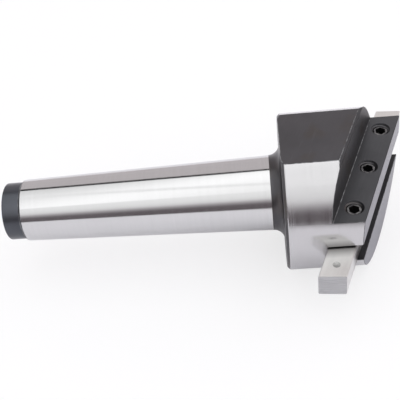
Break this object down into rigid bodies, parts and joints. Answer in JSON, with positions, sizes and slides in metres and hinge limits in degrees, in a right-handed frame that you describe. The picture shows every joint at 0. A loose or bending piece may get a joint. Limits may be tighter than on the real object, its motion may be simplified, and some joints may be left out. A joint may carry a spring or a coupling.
{
  "type": "fly cutter",
  "caption": "Taper shank fly cutter: a round head with a tilted nose and an open slot, where set screws clamp a square tool bit that sweeps a flat face.",
  "frame": {"origin": "on the spindle axis at the gauge plane of the Morse taper", "axes": "+X along the spindle axis from the shank to the nose, +Z out of the ledge along the clamp screws, +Y towards the long end of the tool bit"},
  "size_m": [0.1327, 0.0739, 0.0472],
  "materials": {
    "blackened_steel": "ground taper and head rim, blackened milled faces, brushed nose",
    "tool_steel": "ground high speed steel with fine grinding lines",
    "screw_steel": "black oxide alloy steel"
  },
  "bodies": {
    "body": {"cutter_body": "blackened_steel"},
    "bit": {"tool_bit": "tool_steel"},
    "screw_1": {"clamp_screw_1": "screw_steel"},
    "screw_2": {"clamp_screw_2": "screw_steel"},
    "screw_3": {"clamp_screw_3": "screw_steel"}
  },
  "joints": [
    {"name": "bit_slide", "type": "slide", "parent": "body", "child": "bit", "axis": [-0.342, -0.9397, 0], "range_m": [-0.015, 0.019]},
    {"name": "screw_1_travel", "type": "slide", "parent": "body", "child": "screw_1", "axis": [0, 0, 1], "range_m": [0, 0.006]},
    {"name": "screw_2_travel", "type": "slide", "parent": "body", "child": "screw_2", "axis": [0, 0, 1], "range_m": [0, 0.006]},
    {"name": "screw_3_travel", "type": "slide", "parent": "body", "child": "screw_3", "axis": [0, 0, 1], "range_m": [0, 0.006]}
  ]
}
